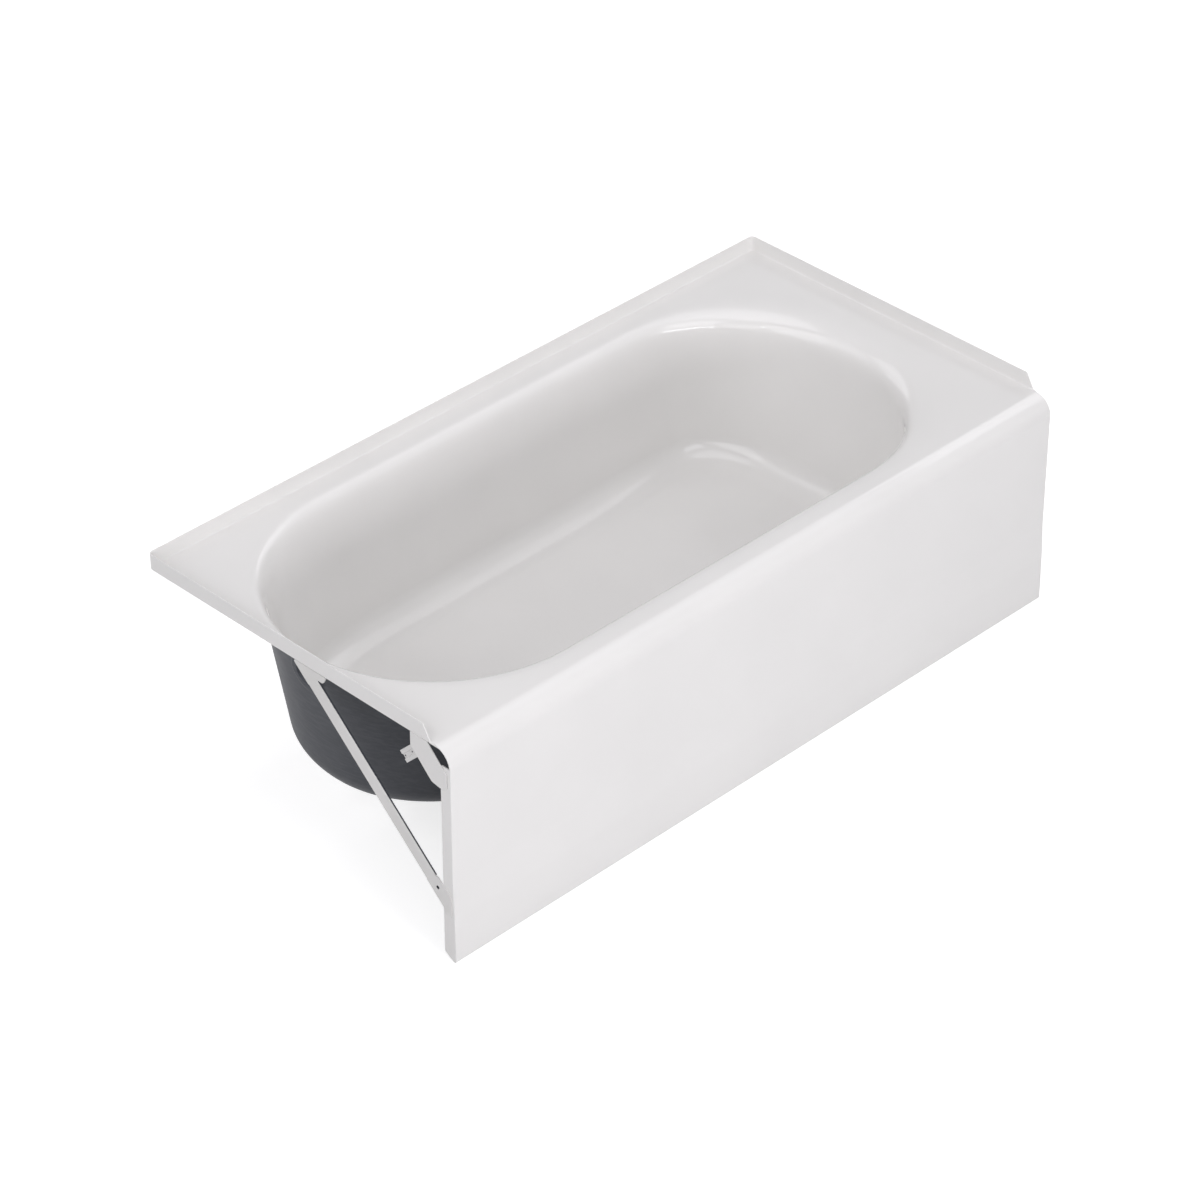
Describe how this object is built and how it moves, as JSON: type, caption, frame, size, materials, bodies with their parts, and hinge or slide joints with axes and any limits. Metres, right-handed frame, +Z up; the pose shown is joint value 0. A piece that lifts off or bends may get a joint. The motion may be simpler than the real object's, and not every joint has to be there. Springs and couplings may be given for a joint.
{
  "type": "apron bathtub",
  "caption": "Alcove bath with an enamelled steel basin and front apron, a tiling flange on three sides, a moulded composite backing, braced ends and a foam support pad.",
  "frame": {"origin": "centre of the bath's footprint on the floor, midway between the two end flanges and between the apron face and the back flange", "axes": "+X from the outlet end on the left to the lounging end on the right, +Y from the apron to the back wall, +Z up"},
  "size_m": [1.524, 0.762, 0.476],
  "materials": {
    "enamel": "glossy white vitreous enamel on steel",
    "composite": "matt moulded charcoal composite",
    "bracket_steel": "thin ground-coat enamel on folded steel",
    "foam": "white moulded bead foam"
  },
  "bodies": {
    "root": {"bath_shell": "enamel", "composite_backing": "composite", "apron_panel": "enamel", "left_gusset": "bracket_steel", "right_gusset": "bracket_steel", "left_gusset_clip": "bracket_steel", "right_gusset_clip": "bracket_steel", "left_brace": "bracket_steel", "right_brace": "bracket_steel", "foam_support_pad": "foam"}
  },
  "joints": []
}
